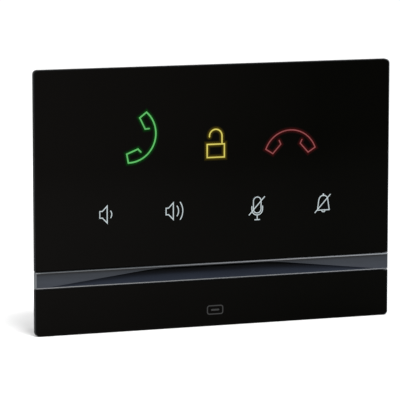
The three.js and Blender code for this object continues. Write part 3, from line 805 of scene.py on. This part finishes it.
symbol("symbol_quieter", white_window, (speaker(-51.5), FINE, True),
       (wave(-49.85, 1.5, 0.5), FINE, False))
symbol("symbol_louder", white_window, (speaker(-20.25), FINE, True),
       (wave(-18.45, 2.25, 0.7), FINE, False), (wave(-16.95, 3.9, 1.2), FINE, False))
capsule = arc((20.1, -6.9), 1.85, 180, 360) + arc((20.1, -3.25), 1.85, 0, 180)
cup = [(17.5, -5.7)] + arc((20.1, -7.05), 2.6, 180, 360) + [(22.7, -5.7)]
symbol("symbol_mute_microphone", white_window, (capsule, FINE, True), (cup, FINE, False),
       ([(20.1, -9.6), (20.1, -11.6)], FINE, False),
       ([(18.95, -11.8), (21.25, -11.8)], FINE, False),
       ([(16.2, -9.5), (23.65, -1.4)], FINE, False))
bell = [(49.6, -8.9), (50.2, -4.35)] + arc((52.5, -4.35), 2.2, 180, 0)[1:] + [(55.4, -8.9)]
symbol("symbol_mute_bell", white_window, (bell, FINE, True),
       (arc((52.5, -8.9), 0.85, 200, 340), FINE, False),
       ([(52.5, -2.15), (52.5, -1.6)], BOLD, False),
       ([(48.4, -9.95), (55.85, -1.85)], FINE, False))
badge_corners = ((2.5, -51.2), (-2.9, -51.2), (-2.9, -53.0), (2.5, -53.0))
badge_frame = [point for quarter, centre in enumerate(badge_corners)
               for point in arc(centre, 1.0, 90 * quarter, 90 * quarter + 90, sides=6)]
badge_bar = [(-1.8, -52.1), (1.4, -52.1)]
symbol("plain_badge", badge_print_painted_glow, (badge_frame, 0.5, True), (badge_bar, 0.8, False))
print("four small symbols and a plain printed badge")

# %% [markdown]
# ## Everything else keeps its CAD shape, with real edges
# No moulded or pressed part has a knife edge: a mould's corners have a radius, and a press leaves
# one. So each CAD node is copied, its convex edges are rounded where its slot has an edge width,
# and the copy stands for the node. Flat faces are first joined up again, since the CAD mesh is all
# triangles. An edge is rounded only where its faces turn by more than 50 degrees and both have room
# for it. Weighted normals keep the large faces flat while the small rounds shade smoothly.

# %% Rounded copies of the CAD shapes
CONVEX = math.radians(50)
ROOM = 2.2


def face_reach(face, edge):
    """How far a face reaches from one of its edges."""
    along = (edge.verts[1].co - edge.verts[0].co).normalized()
    across = along.cross(face.normal)
    return max(abs((vert.co - edge.verts[0].co).dot(across)) for vert in face.verts)


def softened(node, width):
    """A copy of the CAD node whose convex edges are rounded by that width in millimetres."""
    build = bmesh.new()
    build.from_mesh(frame["nodes"][node].data)
    bmesh.ops.remove_doubles(build, verts=build.verts, dist=0.001 * MM)
    bmesh.ops.dissolve_limit(build, angle_limit=math.radians(1), verts=build.verts,
                             edges=build.edges)
    narrowest = ROOM * width * MM
    edges = [edge for edge in build.edges
             if edge.is_manifold and edge.calc_face_angle_signed() > CONVEX
             and min(face_reach(face, edge) for face in edge.link_faces) > narrowest]
    if width:
        bmesh.ops.bevel(build, geom=edges, offset=width * MM, segments=2, profile=0.5,
                        affect="EDGES", clamp_overlap=False)
    mesh = bpy.data.meshes.new(node + "_shape")
    build.to_mesh(mesh)
    build.free()
    return smooth(mesh, 42)


EDGE_WIDTH = {"black_plastic": 0.25, "galvanised_steel": 0.12, "tin_plate": 0.15,
              "grey_plastic": 0.2, "orange_plastic": 0.2, "white_plastic": 0.15,
              "circuit_board": 0.08, "ferrite": 0.2, "led_package": 0.08, "clear_acrylic": 0.1,
              "rubber": 0.2, "capacitor_sleeve": 0.2}
finished = {"upper_glass", "lower_glass", "light_strip"}
bodies = frame["record"]["behaviour"]["bodies"]
body_of = {node: body for body, nodes in bodies.items() for node in nodes}
for subpart in frame["record"]["subparts"]:
    node, slot = subpart["node"], subpart["material_slot"]
    if node in finished:
        continue
    shape = piece(node + "_shape", softened(node, EDGE_WIDTH.get(slot, 0.0)), body_of[node], slot,
                  slot_material[slot])
    shape.modifiers.new("Even shading", "WEIGHTED_NORMAL").keep_sharp = True
    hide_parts(node)

# %% [markdown]
# ## Contacts in the network socket
# Eight sprung wires run slanting through a network socket, 1.02 mm apart. They are phosphor bronze
# with a gold flash, and they are the one bright thing to see from behind, so they are drawn: each
# is a thin square wire with two bends.

# %% Eight gold contacts
def square_wire(build, points, size):
    """Adds a square wire through points in millimetres, which all lie at one height."""
    loops = []
    for i, here in enumerate(points):
        before = Vector(points[max(i - 1, 0)])
        after = Vector(points[min(i + 1, len(points) - 1)])
        along = (after - before).normalized()
        side = along.cross(Vector((0, 0, 1))) * size / 2
        up = Vector((0, 0, size / 2))
        place = Vector(here)
        loops.append([build.verts.new((place + offset) * MM)
                      for offset in (side + up, side - up, -side - up, -side + up)])
    for here, there in zip(loops, loops[1:]):
        for i in range(4):
            j = (i + 1) % 4
            build.faces.new((here[i], here[j], there[j], there[i]))
    build.faces.new(loops[0])
    build.faces.new(loops[-1])


CONTACTS = 8
CONTACT_PITCH = 1.02
CONTACT_SIZE = 0.35
socket_low, socket_high = (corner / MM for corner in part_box("network_socket"))
contacts = bmesh.new()
middle_z = (socket_low.z + socket_high.z) / 2
for number in range(CONTACTS):
    z = middle_z + CONTACT_PITCH * (number - (CONTACTS - 1) / 2)
    wire = [(socket_low.x + 6.1, -11.6, z), (socket_low.x + 8, -11.5, z),
            (socket_high.x - 3.5, -11.4, z), (socket_high.x - 2.6, -10.8, z),
            (socket_low.x + 8.5, -8.3, z)]
    square_wire(contacts, wire, CONTACT_SIZE)
bmesh.ops.recalc_face_normals(contacts, faces=contacts.faces)
contact_mesh = bpy.data.meshes.new("socket_contacts")
contacts.to_mesh(contact_mesh)
contacts.free()
piece("socket_contacts", contact_mesh, "unit", "tin_plate", gold)
print(CONTACTS, "contacts,", CONTACT_PITCH, "mm apart")

# %% [markdown]
# ## Floor and surround
# A plain pale floor runs far back, and a white surround lights everything evenly. The view
# transform is the standard one, so that the hex colours above come out as written.

# %% A pale floor and a white surround
FLOOR_HALF = 6.0
scene = bpy.context.scene
scene.view_settings.view_transform = "Standard"
floor_paint, floor_tree, floor_shader = new_material("matt_white_floor", "fafafa", 0.8)
floor_place = add(floor_tree, "TexCoord").outputs["Object"]
floor_noise = add(floor_tree, "TexNoise",
                  {"Vector": floor_place, "Scale": 1 / (80 * MM), "Detail": 2.0})
floor_tint = steps(add(floor_tree, "ValToRGB", {"Fac": floor_noise.outputs["Fac"]}),
                   (0.3, linear("f9f9f9")), (0.7, linear("fcfcfc")))
floor_tree.links.new(floor_tint.outputs["Color"], floor_shader.inputs["Base Color"])
corners = [(x * FLOOR_HALF, y * FLOOR_HALF, cad_box[0].z)
           for x, y in ((-1, -1), (1, -1), (1, 1), (-1, 1))]
floor_mesh = bpy.data.meshes.new("floor")
floor_mesh.from_pydata(corners, [], [(0, 1, 2, 3)])
floor_mesh.materials.append(floor_paint)
floor_object = bpy.data.objects.new("floor", floor_mesh)
scene.collection.objects.link(floor_object)

world = bpy.data.worlds.new("white_surround")
world.use_nodes = True
surround = world.node_tree.nodes["Background"]
surround.inputs["Color"].default_value = (1.0, 1.0, 1.0, 1.0)
surround.inputs["Strength"].default_value = 1.0
scene.world = world
print("floor", 2 * FLOOR_HALF, "m across, at the object's lowest point")

# %% [markdown]
# ## Camera and lamp
# The camera stands about 1.3 m away, to the left of the panel and a little above it, and looks
# slightly down. Its long lens keeps the panel's edges nearly parallel. One large soft lamp high in
# front gives the bar's edges their shine and throws a short faint shadow back.

# %% Camera and lamp
CAMERA_LENS = 266.71
CAMERA_PLACE = Vector((-456.42, -1268.57, 184.63)) * MM
CAMERA_TURN = (81.987, -0.03, -19.844)
LAMP_PLACE = (0.05, -0.62, 1.4)
LAMP_SIZE = 0.45
LAMP_POWER = 18.0
panel_middle = Vector((0.0, front, 0.0))
camera_data = bpy.data.cameras.new("camera")
camera_data.lens = CAMERA_LENS
camera_data.sensor_width = 36.0
camera = bpy.data.objects.new("camera", camera_data)
camera.location = CAMERA_PLACE
camera.rotation_euler = [math.radians(turn) for turn in CAMERA_TURN]
scene.collection.objects.link(camera)
scene.camera = camera

lamp_data = bpy.data.lights.new("key_lamp", "AREA")
lamp_data.size = LAMP_SIZE
lamp_data.energy = LAMP_POWER
lamp = bpy.data.objects.new("key_lamp", lamp_data)
lamp.location = Vector(LAMP_PLACE)
lamp.rotation_euler = (panel_middle - lamp.location).to_track_quat("-Z", "Y").to_euler()
scene.collection.objects.link(lamp)
print("camera", round((camera.location - panel_middle).length, 3), "m from the panel")
